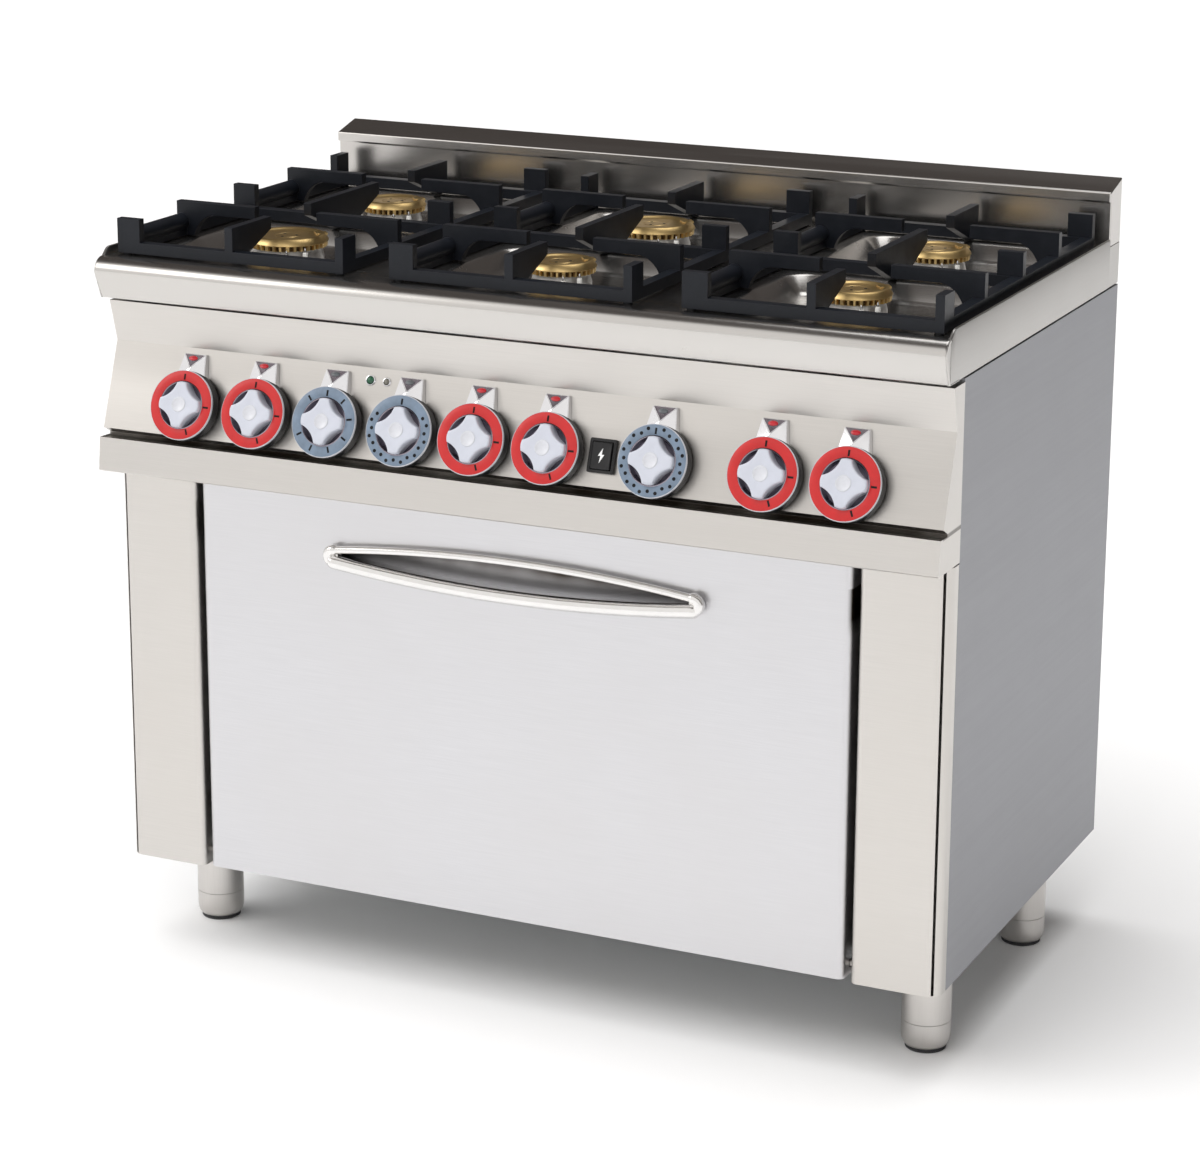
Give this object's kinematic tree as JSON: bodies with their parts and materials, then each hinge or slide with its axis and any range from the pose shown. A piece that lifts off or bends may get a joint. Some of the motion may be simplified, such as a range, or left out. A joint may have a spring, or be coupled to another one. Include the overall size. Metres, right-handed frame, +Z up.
{
  "type": "commercial gas range",
  "caption": "Free-standing catering range: open gas burners under cast-iron grates, star-grip knobs on a sloping panel, wide drop-down oven door, low splashback, round legs.",
  "frame": {"origin": "on the floor, at the centre of the footprint, knobs included", "axes": "+Z up, +X to the user's right along the width, -Y towards the user"},
  "size_m": [1, 0.612, 0.9],
  "materials": {
    "stainless_satin": "satin brushed stainless steel",
    "stainless_polished": "polished stainless tube",
    "galvanised": "plain zinc-coated sheet",
    "enamel_black": "dark vitreous enamel",
    "cast_iron_enamel": "satin blue-black enamelled iron",
    "brass": "machined brass",
    "aluminium_cast": "cast aluminium",
    "knob_red": "gloss red with pearl grip",
    "knob_grey": "gloss blue-grey with pearl grip",
    "pointer_chrome": "chromed block",
    "black_plastic": "black moulded plastic",
    "lamp_lens": "small lamp lens",
    "mineral_wool": "fibrous wool board",
    "seal_rubber": "silicone seal",
    "steel_bright": "plated wire and shafts",
    "copper_brass_fitting": "machined brass fittings"
  },
  "bodies": {
    "range_body": {"worktop": "stainless_satin", "splashback": "stainless_satin", "control_panel": "stainless_satin", "left_pillar": "stainless_satin", "right_pillar": "stainless_satin", "left_side_panel": "stainless_satin", "right_side_panel": "stainless_satin", "rear_panel": "galvanised", "base_tray": "galvanised", "legs": "stainless_satin", "oven_liner": "enamel_black", "oven_insulation": "mineral_wool", "oven_seal": "seal_rubber", "rack_rails": "steel_bright", "heating_elements": "galvanised", "fan_motor": "galvanised", "fan_cover": "enamel_black", "gas_taps": "copper_brass_fitting", "oven_controls": "black_plastic", "knob_pointers": "pointer_chrome", "pilot_lamps": "lamp_lens", "igniter_bezel": "black_plastic", "gas_manifold": "galvanised", "burner_bodies": "aluminium_cast"},
    "gas_spindle_1": {"gas_spindle_1": "copper_brass_fitting"},
    "gas_knob_1": {"gas_knob_1": "knob_red"},
    "gas_spindle_2": {"gas_spindle_2": "copper_brass_fitting"},
    "gas_knob_2": {"gas_knob_2": "knob_red"},
    "gas_spindle_3": {"gas_spindle_3": "copper_brass_fitting"},
    "gas_knob_3": {"gas_knob_3": "knob_red"},
    "gas_spindle_4": {"gas_spindle_4": "copper_brass_fitting"},
    "gas_knob_4": {"gas_knob_4": "knob_red"},
    "gas_spindle_5": {"gas_spindle_5": "copper_brass_fitting"},
    "gas_knob_5": {"gas_knob_5": "knob_red"},
    "gas_spindle_6": {"gas_spindle_6": "copper_brass_fitting"},
    "gas_knob_6": {"gas_knob_6": "knob_red"},
    "selector_knob": {"selector_knob": "knob_grey"},
    "thermostat_knob": {"thermostat_knob": "knob_grey"},
    "timer_knob": {"timer_knob": "knob_grey"},
    "igniter_button": {"igniter_button": "black_plastic"},
    "door": {"door_outer_skin": "stainless_satin", "door_inner_panel": "stainless_satin", "door_insulation": "mineral_wool", "door_hinges": "galvanised", "door_handle": "stainless_polished"},
    "oven_rack": {"oven_rack": "steel_bright"},
    "grate_1": {"grate_1": "cast_iron_enamel"},
    "grate_2": {"grate_2": "cast_iron_enamel"},
    "grate_3": {"grate_3": "cast_iron_enamel"},
    "burner_cap_1": {"burner_cap_1": "brass"},
    "burner_cap_2": {"burner_cap_2": "brass"},
    "burner_cap_3": {"burner_cap_3": "brass"},
    "burner_cap_4": {"burner_cap_4": "brass"},
    "burner_cap_5": {"burner_cap_5": "brass"},
    "burner_cap_6": {"burner_cap_6": "brass"},
    "oven_fan": {"oven_fan": "steel_bright"},
    "adjustable_foot_1": {"adjustable_foot_1": "stainless_satin"},
    "adjustable_foot_2": {"adjustable_foot_2": "stainless_satin"},
    "adjustable_foot_3": {"adjustable_foot_3": "stainless_satin"},
    "adjustable_foot_4": {"adjustable_foot_4": "stainless_satin"}
  },
  "joints": [
    {"name": "gas_tap_1_turn", "type": "hinge", "parent": "range_body", "child": "gas_spindle_1", "pos_m": [-0.393, -0.27318, 0.661], "axis": [0, -0.9428, 0.3335], "range_deg": [0, 210]},
    {"name": "gas_knob_1_push", "type": "slide", "parent": "gas_spindle_1", "child": "gas_knob_1", "axis": [0, 0.9428, -0.3335], "range_m": [0, 0.003], "stiffness_N_per_m": 1500, "springref_m": -0.003},
    {"name": "gas_tap_2_turn", "type": "hinge", "parent": "range_body", "child": "gas_spindle_2", "pos_m": [-0.302, -0.27318, 0.661], "axis": [0, -0.9428, 0.3335], "range_deg": [0, 210]},
    {"name": "gas_knob_2_push", "type": "slide", "parent": "gas_spindle_2", "child": "gas_knob_2", "axis": [0, 0.9428, -0.3335], "range_m": [0, 0.003], "stiffness_N_per_m": 1500, "springref_m": -0.003},
    {"name": "gas_tap_3_turn", "type": "hinge", "parent": "range_body", "child": "gas_spindle_3", "pos_m": [-0.033, -0.27318, 0.661], "axis": [0, -0.9428, 0.3335], "range_deg": [0, 210]},
    {"name": "gas_knob_3_push", "type": "slide", "parent": "gas_spindle_3", "child": "gas_knob_3", "axis": [0, 0.9428, -0.3335], "range_m": [0, 0.003], "stiffness_N_per_m": 1500, "springref_m": -0.003},
    {"name": "gas_tap_4_turn", "type": "hinge", "parent": "range_body", "child": "gas_spindle_4", "pos_m": [0.055, -0.27318, 0.661], "axis": [0, -0.9428, 0.3335], "range_deg": [0, 210]},
    {"name": "gas_knob_4_push", "type": "slide", "parent": "gas_spindle_4", "child": "gas_knob_4", "axis": [0, 0.9428, -0.3335], "range_m": [0, 0.003], "stiffness_N_per_m": 1500, "springref_m": -0.003},
    {"name": "gas_tap_5_turn", "type": "hinge", "parent": "range_body", "child": "gas_spindle_5", "pos_m": [0.304, -0.27318, 0.661], "axis": [0, -0.9428, 0.3335], "range_deg": [0, 210]},
    {"name": "gas_knob_5_push", "type": "slide", "parent": "gas_spindle_5", "child": "gas_knob_5", "axis": [0, 0.9428, -0.3335], "range_m": [0, 0.003], "stiffness_N_per_m": 1500, "springref_m": -0.003},
    {"name": "gas_tap_6_turn", "type": "hinge", "parent": "range_body", "child": "gas_spindle_6", "pos_m": [0.395, -0.27318, 0.661], "axis": [0, -0.9428, 0.3335], "range_deg": [0, 210]},
    {"name": "gas_knob_6_push", "type": "slide", "parent": "gas_spindle_6", "child": "gas_knob_6", "axis": [0, 0.9428, -0.3335], "range_m": [0, 0.003], "stiffness_N_per_m": 1500, "springref_m": -0.003},
    {"name": "selector_turn", "type": "hinge", "parent": "range_body", "child": "selector_knob", "pos_m": [-0.212, -0.27318, 0.661], "axis": [0, -0.9428, 0.3335], "range_deg": [-315, 0]},
    {"name": "thermostat_turn", "type": "hinge", "parent": "range_body", "child": "thermostat_knob", "pos_m": [-0.12, -0.27318, 0.661], "axis": [0, -0.9428, 0.3335], "range_deg": [-300, 0]},
    {"name": "timer_turn", "type": "hinge", "parent": "range_body", "child": "timer_knob", "pos_m": [0.18, -0.27318, 0.661], "axis": [0, -0.9428, 0.3335], "range_deg": [-330, 0]},
    {"name": "igniter_push", "type": "slide", "parent": "range_body", "child": "igniter_button", "axis": [0, 0.9428, -0.3335], "range_m": [0, 0.003], "stiffness_N_per_m": 800, "springref_m": -0.002},
    {"name": "door_open", "type": "hinge", "parent": "range_body", "child": "door", "pos_m": [0, -0.233, 0.122], "axis": [1, 0, 0], "range_deg": [0, 88]},
    {"name": "rack_slide", "type": "slide", "parent": "range_body", "child": "oven_rack", "axis": [0, -1, 0], "range_m": [0, 0.25]},
    {"name": "grate_1_lift", "type": "slide", "parent": "range_body", "child": "grate_1", "axis": [0, 0, 1], "range_m": [0, 0.15]},
    {"name": "grate_2_lift", "type": "slide", "parent": "range_body", "child": "grate_2", "axis": [0, 0, 1], "range_m": [0, 0.15]},
    {"name": "grate_3_lift", "type": "slide", "parent": "range_body", "child": "grate_3", "axis": [0, 0, 1], "range_m": [0, 0.15]},
    {"name": "burner_cap_1_lift", "type": "slide", "parent": "range_body", "child": "burner_cap_1", "axis": [0, 0, 1], "range_m": [0, 0.07]},
    {"name": "burner_cap_2_lift", "type": "slide", "parent": "range_body", "child": "burner_cap_2", "axis": [0, 0, 1], "range_m": [0, 0.07]},
    {"name": "burner_cap_3_lift", "type": "slide", "parent": "range_body", "child": "burner_cap_3", "axis": [0, 0, 1], "range_m": [0, 0.07]},
    {"name": "burner_cap_4_lift", "type": "slide", "parent": "range_body", "child": "burner_cap_4", "axis": [0, 0, 1], "range_m": [0, 0.07]},
    {"name": "burner_cap_5_lift", "type": "slide", "parent": "range_body", "child": "burner_cap_5", "axis": [0, 0, 1], "range_m": [0, 0.07]},
    {"name": "burner_cap_6_lift", "type": "slide", "parent": "range_body", "child": "burner_cap_6", "axis": [0, 0, 1], "range_m": [0, 0.07]},
    {"name": "fan_spin", "type": "hinge", "parent": "range_body", "child": "oven_fan", "pos_m": [0, 0.192, 0.355], "axis": [0, 1, 0], "continuous": true},
    {"name": "foot_1_extend", "type": "slide", "parent": "range_body", "child": "adjustable_foot_1", "axis": [0, 0, -1], "range_m": [0, 0.03]},
    {"name": "foot_2_extend", "type": "slide", "parent": "range_body", "child": "adjustable_foot_2", "axis": [0, 0, -1], "range_m": [0, 0.03]},
    {"name": "foot_3_extend", "type": "slide", "parent": "range_body", "child": "adjustable_foot_3", "axis": [0, 0, -1], "range_m": [0, 0.03]},
    {"name": "foot_4_extend", "type": "slide", "parent": "range_body", "child": "adjustable_foot_4", "axis": [0, 0, -1], "range_m": [0, 0.03]}
  ],
  "couplings": [
    {"joint": "rack_slide", "follows": "door_open", "m_per_rad": 0.16},
    {"joint": "burner_cap_1_lift", "follows": "grate_1_lift", "ratio": 0.45},
    {"joint": "burner_cap_2_lift", "follows": "grate_1_lift", "ratio": 0.45},
    {"joint": "burner_cap_3_lift", "follows": "grate_2_lift", "ratio": 0.45},
    {"joint": "burner_cap_4_lift", "follows": "grate_2_lift", "ratio": 0.45},
    {"joint": "burner_cap_5_lift", "follows": "grate_3_lift", "ratio": 0.45},
    {"joint": "burner_cap_6_lift", "follows": "grate_3_lift", "ratio": 0.45}
  ]
}
